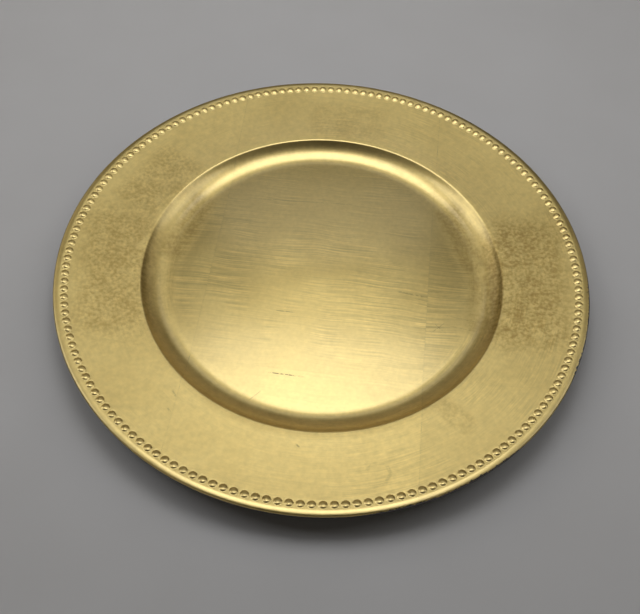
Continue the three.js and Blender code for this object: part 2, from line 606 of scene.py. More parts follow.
@dataclass(frozen=True)
class PlateFace:
    """The face of the plate as an open surface at any distance above the plastic."""

    section: Section
    beads: BeadRing
    floor_rings: tuple[float, ...] = (4 * MM, 30 * MM, 60 * MM, 85 * MM, 95 * MM)
    cove_steps: int = 14
    edge_steps: int = 6
    rim_steps: int = 8
    roll_steps: int = 5
    border: float = 0.3 * MM

    def inner_run(self, offset: float) -> SectionPen:
        """Draws the section from the axis to the bead ring.

        Args:
            offset: Distance above the plastic.

        Returns:
            The pen with the run.
        """
        section = self.section
        cove, rim = section.cove, section.rim
        band_start = self.beads.band_start
        pen = SectionPen("inner_run", section.floor_point(0, offset))
        for radius in self.floor_rings:
            pen.line_to(section.floor_point(radius, offset))
        pen.line_to(cove.at_slope(cove.from_slope, offset))
        pen.arc_along(cove, offset, cove.to_slope, self.cove_steps)
        pen.arc_along(section.well_edge, offset, section.well_edge.to_slope, self.edge_steps)
        pen.arc_along(rim, offset, rim.slope_at(band_start - self.border, offset), self.rim_steps)
        pen.arc_along(rim, offset, rim.slope_at(band_start, offset), 1)
        return pen

    def outer_run(self, offset: float) -> SectionPen:
        """Draws the section from the bead ring to the outside of the lip.

        Args:
            offset: Distance above the plastic.

        Returns:
            The pen with the run.
        """
        roll, edge = self.section.lip_roll, self.section.lip_edge
        band_end = self.beads.band_end
        pen = SectionPen("outer_run", roll.at_radius(band_end, offset))
        pen.arc_along(roll, offset, roll.slope_at(band_end + self.border, offset), 1)
        pen.arc_along(roll, offset, roll.to_slope, self.roll_steps)
        pen.arc_along(edge, offset, edge.to_slope, self.edge_steps)
        return pen

    def build(self, name: str, offset: float) -> Object:
        """Spins the runs inside and outside the bead ring and closes them onto it.

        Args:
            name: Name of the surface.
            offset: Distance above the plastic.

        Returns:
            The open surface, its faces pointing up.
        """
        runs = [self.inner_run(offset), self.outer_run(offset)]
        spun = [run.spin(self.beads.segments, self.beads.first_angle) for run in runs]
        face = merge(name, [*spun, self.beads.build(self.section, offset)])
        if sum(polygon.normal.z * polygon.area for polygon in face.data.polygons) < 0:
            edit(face)
            bpy.ops.mesh.flip_normals()
            bpy.ops.object.mode_set(mode="OBJECT")
        return face


@dataclass(frozen=True)
class Moulding:
    """The black plastic plate under the leaf, with its foot ring and the turned-down lip."""

    section: Section
    cores: BeadRing
    node: str = "plate_body"
    cove_steps: int = 14
    edge_steps: int = 4
    rim_steps: int = 8
    edge_round: float = 0.35 * MM
    round_steps: int = 3
    sharp_above: float = math.radians(50)
    smooth_below: float = math.radians(35)

    def underside(self) -> Object:
        """Draws and spins the underside, from the axis to the outside of the lip.

        Returns:
            The underside as an open surface.
        """
        section = self.section
        cove, well_edge, rim = section.cove, section.well_edge, section.rim
        below = -section.wall
        foot_outer = section.floor_edge.radius - section.foot_inset
        foot_inner = foot_outer - section.foot_width
        flare = section.foot_height * math.tan(section.foot_draft)
        lip_inner = section.outer_radius - section.lip_width
        lip_bottom = section.lip_roll.at_slope(0).height - section.lip_depth
        pen = SectionPen("underside", section.floor_point(0, below))
        pen.line_to(section.floor_point(foot_inner - flare, below))
        pen.line_to(Point(foot_inner, 0))
        pen.line_to(Point(foot_outer, 0))
        pen.line_to(section.floor_point(foot_outer + flare, below))
        pen.line_to(cove.at_slope(cove.from_slope, below))
        pen.arc_along(cove, below, cove.to_slope, self.cove_steps)
        pen.arc_along(well_edge, below, well_edge.to_slope, self.edge_steps)
        pen.arc_along(rim, below, rim.to_slope, self.rim_steps)
        pen.line_to(Point(lip_inner, rim.at_slope(rim.to_slope, below).height))
        pen.line_to(Point(lip_inner, lip_bottom))
        pen.line_to(Point(section.outer_radius, lip_bottom))
        pen.line_to(section.lip_edge.end())
        return pen.spin(self.cores.segments, self.cores.first_angle)

    def build(self) -> Object:
        """Closes the underside onto the moulding's face and rounds its sharp edges.

        Returns:
            The moulding.
        """
        face = PlateFace(self.section, self.cores).build("moulding_face", 0)
        plate = merge("moulding", [face, self.underside()])
        rounding = plate.modifiers.new("moulded edges", "BEVEL")
        rounding.width = self.edge_round
        rounding.segments = self.round_steps
        rounding.limit_method = "ANGLE"
        rounding.angle_limit = self.sharp_above
        set_form(plate, rounding, self.smooth_below)
        return plate

    def dress(self, plate: Object, finish: Material) -> None:
        """Gives the moulding its finish."""
        settle(plate, self.node, finish)


@dataclass(frozen=True)
class LeafLay:
    """How the sheets of leaf lie on the plate: a turned grid of seams."""

    sheet_length: float = 138.5 * MM
    sheet_width: float = 74 * MM
    centre: tuple[float, float] = (-1.75 * MM, 2.5 * MM)
    turn: float = math.radians(-4.6)
    gap: float = 0.15 * MM
    thickness: float = 0.3 * MM
    seam_gap: float = 0.02 * MM

    @property
    def top(self) -> float:
        """Distance of the leaf's face above the plastic."""
        return self.gap + self.thickness

    def column_seams(self) -> list[float]:
        """Places of the seams between columns, along the turned X."""
        return [self.centre[0] + share * self.sheet_length for share in (-0.5, 0.5)]

    def row_seams(self) -> list[float]:
        """Places of the seams between rows, along the turned Y."""
        return [self.centre[1] + share * self.sheet_width for share in (-1, 0, 1)]

    def direction(self, angle: float) -> Vector:
        """A direction of the turned grid on the plate."""
        return Vector((math.cos(self.turn + angle), math.sin(self.turn + angle), 0))


@dataclass(frozen=True)
class LeafCover:
    """The sheets of gold leaf over the face and the lip."""

    face: PlateFace
    lay: LeafLay
    smooth_below: float = math.radians(60)

    def trim(self, sheet: Object, normal: Vector, seams: list[float], place: int) -> None:
        """Cuts a sheet at the seams on both of its sides.

        Args:
            sheet: The sheet, before this cut as wide as the plate.
            normal: Direction across the seams.
            seams: Their places along it.
            place: Which space between the seams the sheet keeps.
        """
        if place > 0:
            low = normal * (seams[place - 1] + self.lay.seam_gap / 2)
            edit(sheet)
            bpy.ops.mesh.bisect(plane_co=low, plane_no=normal, clear_inner=True)
        if place < len(seams):
            high = normal * (seams[place] - self.lay.seam_gap / 2)
            edit(sheet)
            bpy.ops.mesh.bisect(plane_co=high, plane_no=normal, clear_outer=True)

    def thicken(self, sheet: Object) -> None:
        """Makes a closed thin sheet of an open one, its face staying where it is.

        Args:
            sheet: The sheet.
        """
        shell = sheet.modifiers.new("leaf thickness", "SOLIDIFY")
        shell.thickness = self.lay.thickness
        shell.offset = -1
        shell.use_even_offset = True
        set_form(sheet, shell, self.smooth_below)

    def cut(self, covering: Object, name: str, row: Row, column: Column) -> Object:
        """Cuts one sheet from a copy of the whole covering and gives it its thickness.

        Args:
            covering: The whole covering, an open surface.
            name: Name of the sheet.
            row: The row that it lies in.
            column: The column that it lies in.

        Returns:
            The sheet.
        """
        take(covering)
        bpy.ops.object.duplicate(linked=False)
        sheet = bpy.context.view_layer.objects.active
        sheet.name = name
        sheet.data.name = name
        self.trim(sheet, self.lay.direction(0), self.lay.column_seams(), column.value)
        self.trim(sheet, self.lay.direction(math.pi / 2), self.lay.row_seams(), row.value)
        deselect_all()
        self.thicken(sheet)
        return sheet

    def build(self) -> dict[str, Object]:
        """Makes the covering and cuts every sheet from it.

        Returns:
            The sheets by the name of the node that each one stands for.
        """
        covering = self.face.build("covering", self.lay.top)
        sheets = {}
        for row in Row:
            for column in Column:
                node = f"leaf_{row.name.lower()}_{column.name.lower()}"
                sheets[node] = self.cut(covering, f"gold_{node}", row, column)
        take(covering)
        bpy.ops.object.delete()
        return sheets

    def dress(self, sheets: dict[str, Object], finish: Material) -> None:
        """Gives every sheet its finish."""
        for node, sheet in sheets.items():
            settle(sheet, node, finish)


class Blend(Enum):
    """How two colours are put together."""

    MIX = "MIX"
    MULTIPLY = "MULTIPLY"


class Nodes:
    """Places and links the nodes of one shader tree."""

    def __init__(self, tree: NodeTree) -> None:
        """Starts on a tree."""
        self.tree = tree

    def feed(self, socket: Socket, value: Value) -> None:
        """Links an output to an input, or sets the input's own value.

        Args:
            socket: The input.
            value: The output, or a value that is the same all over.
        """
        if isinstance(value, Socket):
            self.tree.links.new(value, socket)
        else:
            socket.default_value = value

    def feed_each(self, sockets: Iterable[Socket], values: Iterable[Value]) -> None:
        """Feeds inputs in their order."""
        for socket, value in zip(sockets, values):
            self.feed(socket, value)

    def feed_named(self, node: Node, **sockets: Value) -> None:
        """Feeds a node's inputs, given by name with _ for a space."""
        for name, value in sockets.items():
            self.feed(node.inputs[name.replace("_", " ")], value)

    def add(self, kind: str, settings: dict[str, object] | None = None, **sockets: Value) -> Node:
        """Adds a node.

        Args:
            kind: The node's type.
            settings: Properties of the node.
            sockets: Inputs by name, with _ for a space.

        Returns:
            The node.
        """
        node = self.tree.nodes.new(kind)
        for name, value in (settings or {}).items():
            setattr(node, name, value)
        self.feed_named(node, **sockets)
        return node

    def math(self, operation: str, *values: Value) -> Socket:
        """Adds a sum on numbers.

        Args:
            operation: The sum.
            values: Its one to three numbers.

        Returns:
            The result.
        """
        node = self.add("ShaderNodeMath", {"operation": operation})
        self.feed_each(node.inputs, values)
        return node.outputs[0]

    def vector(self, operation: str, *values: Value, output: str = "Vector") -> Socket:
        """Adds a sum on vectors.

        Args:
            operation: The sum.
            values: Its one or two vectors.
            output: Which of the node's outputs is wanted.

        Returns:
            The result.
        """
        node = self.add("ShaderNodeVectorMath", {"operation": operation})
        self.feed_each(node.inputs, values)
        return node.outputs[output]

    def times(self, *values: Value) -> Socket:
        """Multiplies numbers.

        Args:
            values: The numbers.

        Returns:
            The product of them all.
        """
        product = values[0]
        for value in values[1:]:
            product = self.math("MULTIPLY", product, value)
        return product

    def most(self, *values: Value) -> Socket:
        """Compares numbers.

        Args:
            values: The numbers.

        Returns:
            The highest of them.
        """
        highest = values[0]
        for value in values[1:]:
            highest = self.math("MAXIMUM", highest, value)
        return highest

    def scaled(self, vector: Value, factor: Value) -> Socket:
        """A vector times a number."""
        node = self.add("ShaderNodeVectorMath", {"operation": "SCALE"}, Vector=vector, Scale=factor)
        return node.outputs[0]

    def join(self, x: Value = 0.0, y: Value = 0.0, z: Value = 0.0) -> Socket:
        """A vector from three numbers."""
        return self.add("ShaderNodeCombineXYZ", X=x, Y=y, Z=z).outputs[0]

    def split(self, vector: Value) -> tuple[Socket, Socket, Socket]:
        """The three numbers of a vector."""
        return tuple(self.add("ShaderNodeSeparateXYZ", Vector=vector).outputs)

    def ease(
        self, value: Value, start: Value, end: Value, low: Value = 0.0, high: Value = 1.0
    ) -> Socket:
        """A smooth step from low to high as a value goes from start to end.

        Args:
            value: The value.
            start: Where the step starts.
            end: Where it ends.
            low: Result before the step.
            high: Result after it.

        Returns:
            The result.
        """
        node = self.add(
            "ShaderNodeMapRange",
            {"interpolation_type": "SMOOTHSTEP"},
            Value=value,
            From_Min=start,
            From_Max=end,
            To_Min=low,
            To_Max=high,
        )
        return node.outputs[0]

    def swing(self, value: Value, amount: Value, middle: Value = 1.0) -> Socket:
        """A number that swings about a middle by an amount as a value swings about one half."""
        return self.math("MULTIPLY_ADD", self.math("SUBTRACT", value, 0.5), amount, middle)

    def blend(self, share: Value, first: Value, second: Value) -> Socket:
        """A number between two others.

        Args:
            share: Share of the second.
            first: The first number.
            second: The second number.

        Returns:
            The number.
        """
        node = self.add("ShaderNodeMix", {"data_type": "FLOAT"})
        self.feed_each([node.inputs[place] for place in MIX_NUMBER_INPUTS], (share, first, second))
        return node.outputs[0]

    def tint(self, share: Value, first: Value, second: Value, blend: Blend = Blend.MIX) -> Socket:
        """A colour from two others.

        Args:
            share: Share of the second.
            first: The first colour.
            second: The second colour.
            blend: How they are put together.

        Returns:
            The colour.
        """
        node = self.add("ShaderNodeMix", {"data_type": "RGBA", "blend_type": blend.value})
        self.feed_each([node.inputs[place] for place in MIX_COLOUR_INPUTS], (share, first, second))
        return node.outputs[MIX_COLOUR_OUTPUT]

    def noise(
        self, place: Value, scale: Value = 1.0, detail: Value = 2.0, rough: Value = 0.5
    ) -> Socket:
        """Cloudy noise about one half.

        Args:
            place: The point.
            scale: Number of its waves to a unit of length.
            detail: How finely it breaks up.
            rough: How strong its fine parts are.

        Returns:
            The noise at the point.
        """
        node = self.add(
            "ShaderNodeTexNoise", Vector=place, Scale=scale, Detail=detail, Roughness=rough
        )
        return node.outputs["Fac"]

    def bump(self, height: Value) -> Socket:
        """The surface's direction where it has a height in millimetres."""
        node = self.add("ShaderNodeBump", Height=height, Distance=MM, Strength=1.0)
        return node.outputs["Normal"]

    def effect(self, tree: NodeTree, **sockets: Value) -> Socket:
        """Places a group of nodes with its own values and gives its result."""
        return self.add("ShaderNodeGroup", {"node_tree": tree}, **sockets).outputs[0]

    def millimetres(self) -> Socket:
        """The place on the piece, in millimetres from the plate's origin."""
        return self.scaled(self.add("ShaderNodeTexCoord").outputs["Object"], 1 / MM)


def new_material(name: str) -> tuple[Material, Nodes, Node]:
    """A bare material with its shader.

    Args:
        name: The material's name.

    Returns:
        The material, its nodes and its principled shader.
    """
    material = bpy.data.materials.new(name)
    material.use_nodes = True
    nodes = Nodes(material.node_tree)
    return material, nodes, material.node_tree.nodes["Principled BSDF"]


@dataclass(frozen=True)
class Fade:
    """A smooth change from a low to a high number as a value goes from a start to an end."""

    start: float
    end: float
    low: float = 0.0
    high: float = 1.0

    def lay(self, nodes: Nodes, value: Value) -> Socket:
        """Places the change in a tree of nodes."""
        return nodes.ease(value, self.start, self.end, self.low, self.high)


class SocketKind(Enum):
    """What a group's socket carries."""

    VALUE = "NodeSocketFloat"
    VECTOR = "NodeSocketVector"


class Effect:
    """A surface effect as a group of nodes, placed in each finish with its own values."""

    def __init__(self, name: str, output: str, **inputs: SocketKind) -> None:
        """Makes the group and its sockets.

        Args:
            name: Name of the group.
            output: Name of its output, which is a value.
            inputs: What its inputs carry, by name.
        """
        self.tree = bpy.data.node_groups.new(name, "ShaderNodeTree")
        for label, kind in inputs.items():
            self.tree.interface.new_socket(label, in_out="INPUT", socket_type=kind.value)
        self.tree.interface.new_socket(output, in_out="OUTPUT", socket_type=SocketKind.VALUE.value)
        self.nodes = Nodes(self.tree)
        self.given = self.nodes.add("NodeGroupInput").outputs
        self.result = self.nodes.add("NodeGroupOutput").inputs[output]

    def close(self, value: Socket) -> NodeTree:
        """Links the group's result and gives the group."""
        self.nodes.feed(self.result, value)
        return self.tree


def cloud_effect() -> NodeTree:
    """Soft uneven tone, used on the leaf, the plastic and the table.

    Returns:
        A group whose Tone swings about one half over patches of a size.
    """
    effect = Effect(
        "cloudy_tone",
        "Tone",
        Place=SocketKind.VECTOR,
        Patch=SocketKind.VALUE,
        Contrast=SocketKind.VALUE,
        Detail=SocketKind.VALUE,
    )
    nodes, given = effect.nodes, effect.given
    cloud = nodes.noise(given["Place"], nodes.math("DIVIDE", 1.0, given["Patch"]), given["Detail"])
    return effect.close(nodes.swing(cloud, given["Contrast"], 0.5))


def stroke_effect(detail: float = 2.0, rough: float = 0.55) -> NodeTree:
    """Fine parallel strokes, used on the leaf and the plastic.

    Args:
        detail: How finely the strokes break up.
        rough: How strong their fine parts are.

    Returns:
        A group whose Height runs from 0 to 1 over strokes of a length along X and a width along Y.
    """
    effect = Effect(
        "fine_strokes",
        "Height",
        Along=SocketKind.VALUE,
        Across=SocketKind.VALUE,
        Layer=SocketKind.VALUE,
        Length=SocketKind.VALUE,
        Width=SocketKind.VALUE,
    )
    nodes, given = effect.nodes, effect.given
    along = nodes.math("DIVIDE", given["Along"], given["Length"])
    across = nodes.math("DIVIDE", given["Across"], given["Width"])
    place = nodes.join(along, across, given["Layer"])
    return effect.close(nodes.noise(place, 1.0, detail, rough))


def fleck_effect(rarest: float = 0.82, half: float = 0.5, edge: float = 0.04) -> NodeTree:
    """Small scattered flecks, used on the plastic and the table.

    Args:
        rarest: Height of the noise above which a fleck shows when their share is 0.
        half: The same height when their share is 1.
        edge: How softly a fleck ends.

    Returns:
        A group whose Mask is 1 in flecks of a size, on a share of the surface.
    """
    effect = Effect(
        "scattered_flecks",
        "Mask",
        Place=SocketKind.VECTOR,
        Size=SocketKind.VALUE,
        Share=SocketKind.VALUE,
    )
    nodes, given = effect.nodes, effect.given
    scale = nodes.math("DIVIDE", 1.0, given["Size"])
    speckle = nodes.noise(given["Place"], scale, detail=2.0, rough=0.6)
    limit = nodes.blend(given["Share"], rarest, half)
    return effect.close(nodes.ease(speckle, limit, nodes.math("ADD", limit, edge)))


def mark_effect(
    side: Fade = Fade(0.2, 0.6, 1.0, 0.0), tip: Fade = Fade(0.3, 0.5, 1.0, 0.2)
) -> NodeTree:
    """One straight scratch, smear or zone, used for each of the marks in the leaf, painted light
    and shade among them.

    Args:
        side: How the mark fades sideways, over shares of its width from its middle line.
        tip: How it fades lengthways, over shares of its length from its middle.

    Returns:
        A group whose Mask is 1 along a line from Start to End and fades at its sides and ends.
    """
    effect = Effect(
        "straight_mark",
        "Mask",
        Place=SocketKind.VECTOR,
        Start=SocketKind.VECTOR,
        End=SocketKind.VECTOR,
        Width=SocketKind.VALUE,
    )
    nodes, given = effect.nodes, effect.given
    run = nodes.vector("SUBTRACT", given["End"], given["Start"])
    from_start = nodes.vector("SUBTRACT", given["Place"], given["Start"])
    along = nodes.vector("DOT_PRODUCT", from_start, run, output="Value")
    square = nodes.vector("DOT_PRODUCT", run, run, output="Value")
    share = nodes.math("DIVIDE", along, square)
    share = nodes.math("MINIMUM", nodes.math("MAXIMUM", share, 0.0), 1.0)
    aside = nodes.vector("SUBTRACT", from_start, nodes.scaled(run, share))
    distance = nodes.vector("LENGTH", aside, output="Value")
    body = side.lay(nodes, nodes.math("DIVIDE", distance, given["Width"]))
    taper = tip.lay(nodes, nodes.math("ABSOLUTE", nodes.math("SUBTRACT", share, 0.5)))
    return effect.close(nodes.times(body, taper))


@dataclass(frozen=True)
class Effects:
    """The groups that the finishes share."""

    cloud: NodeTree = field(default_factory=cloud_effect)
    strokes: NodeTree = field(default_factory=stroke_effect)
    flecks: NodeTree = field(default_factory=fleck_effect)
    mark: NodeTree = field(default_factory=mark_effect)


@dataclass(frozen=True)
class Cloud:
    """An uneven tone: size of its patches in millimetres, contrast and how finely it breaks up."""

    patch: float
    contrast: float
    detail: float = 1.5

    def lay(self, nodes: Nodes, effects: Effects, place: Value) -> Socket:
        """Places the cloud in a material.

        Args:
            nodes: The material's nodes.
            effects: The shared groups.
            place: The point.

        Returns:
            The cloud's tone, which swings about one half.
        """
        return nodes.effect(
            effects.cloud, Place=place, Patch=self.patch, Contrast=self.contrast, Detail=self.detail
        )


@dataclass(frozen=True)
class Brushing:
    """Brush strokes: their length, width and depth in millimetres."""

    length: float
    width: float
    depth: float


@dataclass(frozen=True)
class Mark:
    """A scratch, a zone of tarnish, or a zone of painted light or shade in the leaf, in millimetres
    on the plate.
    """

    start: tuple[float, float]
    end: tuple[float, float]
    width: float
    strength: float

    def lay(self, nodes: Nodes, effects: Effects, flat: Value) -> Socket:
        """Places the mark in a material.

        Args:
            nodes: The material's nodes.
            effects: The shared groups.
            flat: The point on the plate, seen from above.

        Returns:
            The mark's mask, up to its strength.
        """
        mask = nodes.effect(
            effects.mark, Place=flat, Start=(*self.start, 0), End=(*self.end, 0), Width=self.width
        )
        return nodes.times(mask, self.strength)


@dataclass(frozen=True)
class WornArc:
    """A stretch of the lip where the leaf is rubbed away: its middle and half width in degrees."""

    middle: float
    half_width: float
    softness: float = 0.012

    def lay(self, nodes: Nodes, outward: Socket) -> Socket:
        """Places the stretch in a material.

        Args:
            nodes: The material's nodes.
            outward: Direction from the plate's axis to the point.

        Returns:
            The stretch's mask.
        """
        middle = math.radians(self.middle)
        towards = (math.cos(middle), math.sin(middle), 0)
        facing = nodes.vector("DOT_PRODUCT", outward, towards, output="Value")
        edge = math.cos(math.radians(self.half_width))
        return nodes.ease(facing, edge - self.softness, edge + self.softness)


@dataclass(frozen=True)
class LeafPoint:
    """Where a point of the leaf lies, as sockets of its material, with lengths in millimetres.

    Attributes:
        place: The point itself.
        flat: The point on the plate, seen from above.
        x: Its way to the right.
        z: Its height above the table.
        radius: Its distance from the plate's axis.
        outward: Direction from the axis to it.
        on_rim: 0 on the floor of the well and 1 on the rim.
        along: Its way along the sheets.
        across: Its way across the sheets.
        sheet: A chance number for its sheet.
        lap: Mask of the laps between sheets.
    """

    place: Socket
    flat: Socket
    x: Socket
    z: Socket
    radius: Socket
    outward: Socket
    on_rim: Socket
    along: Socket
    across: Socket
    sheet: Socket
    lap: Socket


@dataclass(frozen=True)
class LeafFinish:
    """Brushed and lacquered imitation gold leaf, in sheets with faint laps, rubbed off at the lip,
    with painted light on the rim and in the middle of the well and painted shade on the lip and in
    the cove.

    Lengths are in millimetres, as places in the material are.
    """

    effects: Effects
    lay: LeafLay
    section: Section
    # Colours and gloss
    pale: Colour = (0.77, 0.608, 0.238, 1)
    deep: Colour = (0.706, 0.54, 0.192, 1)
    tarnish: Colour = (0.41, 0.28, 0.08, 1)
    bare: Colour = (0.012, 0.01, 0.009, 1)
    roughness: float = 0.32
    roughness_swing: float = 0.1
    bare_roughness: float = 0.4
    lip_roughness: float = 0.05
    # The lip is darkened partly as rubbed leaf and partly as painted shade
    lip_wear_and_painted_shade: float = 0.66
    # Painted light: the rim is lightened
    rim_painted_light: float = 1.12
    rim_start: Fade = Fade(90, 102)
    lacquer: float = 1.0
    lacquer_roughness: float = 0.16
    # Uneven tone, grain, tarnish and wrinkles
    tone: Cloud = Cloud(32, 1.0)
    grain: Cloud = Cloud(4, 1.0, 4.0)
    floor_grain: float = 0.26
    rim_grain: float = 0.36
    blotches: Cloud = Cloud(8, 2.0, 5.0)
    stray_blotches: float = 0.16
    mottle: Cloud = Cloud(2.2, 1.9, 3.0)
    mottle_share: float = 0.6
    spot_edge: Fade = Fade(0.15, 0.85)
    wrinkles: Cloud = Cloud(5, 1.0, 2.0)
    floor_wrinkles: float = 0.003
    rim_wrinkles: float = 0.014
    # Brush strokes, fainter towards the near, far and left sides and in some passes of the brush
    floor_brushing: Brushing = Brushing(40, 1.15, 0.006)
    near_strokes: Fade = Fade(-80, -30, 0.156, 0.78)
    far_strokes: Fade = Fade(15, 60, 1.0, 0.5)
    rim_brushing: Brushing = Brushing(18, 1.0, 0.004)
    rim_strokes: Fade = Fade(-70, 70, 0.12, 0.4)
    brush_passes: Cloud = Cloud(26, 1.5)
    pass_strength: Fade = Fade(0.3, 0.7, 0.3, 1.5)
    stroke_drift: float = 8
    drift_per_mm: float = 0.02
    stroke_layers: float = 90
    # Sheets, their laps and the scratches in them
    sheet_swing: float = 0.06
    sheet_chance: float = 3.0
    right_column: float = 0.97
    right_edge: float = 0.2
    lap_width: float = 0.8
    lap_darkness: float = 0.055
    lap_raggedness: float = 2.0
    lap_waves_per_mm: float = 0.35
    breaks: Cloud = Cloud(2, 1.0, 2.0)
    break_edge: Fade = Fade(0.36, 0.56)
    scratches: tuple[Mark, ...] = (
        Mark((46, -10), (66, -14), 1.6, 0.3),
        Mark((69, -32), (77, -40), 0.7, 0.35),
        Mark((77, -32), (68, -40), 0.7, 0.3),
        Mark((74, -26), (98, -31), 0.9, 0.16),
        Mark((78, -34), (97, -38), 0.8, 0.15),
        Mark((-30, -29), (-16, -30), 0.8, 0.4),
        Mark((-29, -73), (-8, -75), 0.8, 0.8),
        Mark((-39, -92), (-32, -85), 0.8, 0.26),
        Mark((-52, 62), (24, 60), 0.9, 0.2),
        Mark((-82, -92), (-79, -97), 1.2, 0.25),
        Mark((-83, -104), (-80, -108), 1.2, 0.25),
        Mark((-10, -122), (-8, -124), 1.1, 0.45),
        Mark((28, -137), (32, -132), 2.2, 0.12),
        Mark((31, -132), (39, -132), 2.2, 0.11),
        Mark((39, -132), (42, -139), 2.4, 0.17),
        Mark((42, -137), (38, -145), 2.4, 0.17),
        Mark((39, -144), (31, -147), 2.2, 0.13),
        Mark((103, 28), (108, 21), 1.4, 0.2),
    )
    # Zones of tarnish on the rim, partly real and partly painted shade at its left and right, and
    # zones of painted light and painted shade
    tarnish_and_shade_zones: tuple[Mark, ...] = (
        Mark((130, 58), (124, -66), 62, 1.0),
        Mark((-134, 52), (-122, -70), 58, 0.8),
        Mark((-130, 36), (-94, 94), 44, 0.75),
        Mark((-20, 134), (46, 126), 40, 0.4),
        Mark((72, -106), (84, -94), 34, 0.5),
    )
    # Painted light: the middle of the well is lightened
    painted_light_zones: tuple[Mark, ...] = (Mark((-46, 5), (50, -3), 72, 0.13),)
    # Painted shade: the cove at the left and right is darkened and browned, and also made rougher
    cove_painted_shade_zones: tuple[Mark, ...] = (
        Mark((-103, 0), (-78, 68), 22, 1.0),
        Mark((-103, 14), (-97, -44), 22, 0.6),
        Mark((103, 0), (78, 68), 22, 1.0),
        Mark((103, 14), (97, -46), 22, 0.8),
    )
    # Roughness, painted browning and painted shade of those cove zones
    cove_roughness: float = 0.2
    cove_painted_browning: float = 0.6
    cove_painted_shade: float = 0.78
    # End of the leaf on the lip, by shares of the way round its edge, and the chips there
    worn_arcs: tuple[WornArc, ...] = (
        WornArc(-14, 14),
        WornArc(-57, 9),
        WornArc(-72, 6),
        WornArc(48, 9),
    )
    whole_edge: float = 0.92
    worn_edge: float = 0.12
    whole_chips: float = 1.2
    worn_chips: float = 4.5
    chips_per_mm: float = 0.55
    chip_detail: float = 4.0
    chip_roughness: float = 0.65
    lip_start: Fade = Fade(-2.0, 0.5)
    leaf_end: Fade = Fade(-0.1, 0.1)

    def build(self) -> Material:
        """Makes the material.

        Returns:
            The material.
        """
        material, nodes, shader = new_material("gold_leaf")
        point = self.locate(nodes)
        strokes = self.strokes(nodes, point)
        tone = self.tone.lay(nodes, self.effects, point.place)
        # The cove mask carries painted shade; the lip mask carries wear and painted shade
        cove = self.marked(nodes, point, self.cove_painted_shade_zones)
        lip, bare = self.lip_wear_and_shade(nodes, point)
        # Painted light on the rim and in the middle of the well, and painted shade on the lip and
        # in the cove, are multiplied in here with the sheets, strokes, grain, scratches and laps
        shade = nodes.times(
            self.shade(nodes, point, strokes),
            nodes.math("SUBTRACT", 1.0, self.darkness(nodes, point)),
            nodes.blend(point.on_rim, 1.0, self.rim_painted_light),
            nodes.blend(lip, 1.0, self.lip_wear_and_painted_shade),
            nodes.blend(cove, 1.0, self.cove_painted_shade),
            nodes.math("ADD", self.marked(nodes, point, self.painted_light_zones), 1.0),
        )
        fresh = nodes.tint(tone, self.deep, self.pale)
        gold = nodes.tint(self.tarnish_and_shade(nodes, point, cove), fresh, self.tarnish)
        gold = nodes.tint(1.0, gold, nodes.join(shade, shade, shade), Blend.MULTIPLY)
        rough = nodes.swing(tone, self.roughness_swing, self.roughness)
        rough = nodes.math("MULTIPLY_ADD", lip, self.lip_roughness, rough)
        rough = nodes.math("MULTIPLY_ADD", cove, self.cove_roughness, rough)
        nodes.feed_named(
            shader,
            Base_Color=nodes.tint(bare, gold, self.bare),
            Metallic=nodes.math("SUBTRACT", 1.0, bare),
            Roughness=nodes.blend(bare, rough, self.bare_roughness),
            Coat_Weight=self.lacquer,
            Coat_Roughness=self.lacquer_roughness,
            Normal=self.relief(nodes, point, strokes),
        )
        return material

    def locate(self, nodes: Nodes) -> LeafPoint:
        """Finds where a point of the leaf lies.

        Args:
            nodes: The material's nodes.

        Returns:
            The point.
        """
        place = nodes.millimetres()
        x, y, z = nodes.split(place)
        flat = nodes.join(x, y)
        radius = nodes.vector("LENGTH", flat, output="Value")
        turned = nodes.add(
            "ShaderNodeVectorRotate", {"rotation_type": "Z_AXIS"}, Vector=flat, Angle=-self.lay.turn
        )
        along, across, _ = nodes.split(turned.outputs[0])
        sheet, lap = self.sheets(nodes, place, along, across)
        return LeafPoint(
            place=place,
            flat=flat,
            x=x,
            z=z,
            radius=radius,
            outward=nodes.vector("NORMALIZE", flat),
            on_rim=self.rim_start.lay(nodes, radius),
            along=along,
            across=across,
            sheet=sheet,
            lap=lap,
        )

    def sheets(
        self, nodes: Nodes, place: Socket, along: Socket, across: Socket
    ) -> tuple[Socket, Socket]:
        """Finds a point's sheet.

        Args:
            nodes: The material's nodes.
            place: The point.
            along: Its way along the sheets.
            across: Its way across them.

        Returns:
            A chance number for the sheet, and a mask of the laps.
        """
        length, width = self.lay.sheet_length / MM, self.lay.sheet_width / MM
        from_column = nodes.math("SUBTRACT", along, self.lay.column_seams()[0] / MM)
        from_row = nodes.math("SUBTRACT", across, self.lay.row_seams()[0] / MM)
        column = nodes.math("FLOOR", nodes.math("DIVIDE", from_column, length))
        row = nodes.math("FLOOR", nodes.math("DIVIDE", from_row, width))
        cell = nodes.join(column, row, self.sheet_chance)
        number = nodes.add("ShaderNodeTexWhiteNoise", Vector=cell)
        to_column = nodes.math("PINGPONG", from_column, length / 2)
        to_row = nodes.math("PINGPONG", from_row, width / 2)
        ragged = nodes.swing(nodes.noise(place, self.lap_waves_per_mm), self.lap_raggedness, 0.0)
        nearest = nodes.math("ADD", nodes.math("MINIMUM", to_column, to_row), ragged)
        lap = nodes.ease(nodes.math("ABSOLUTE", nearest), 0.0, self.lap_width, 1.0, 0.0)
        return number.outputs["Value"], lap

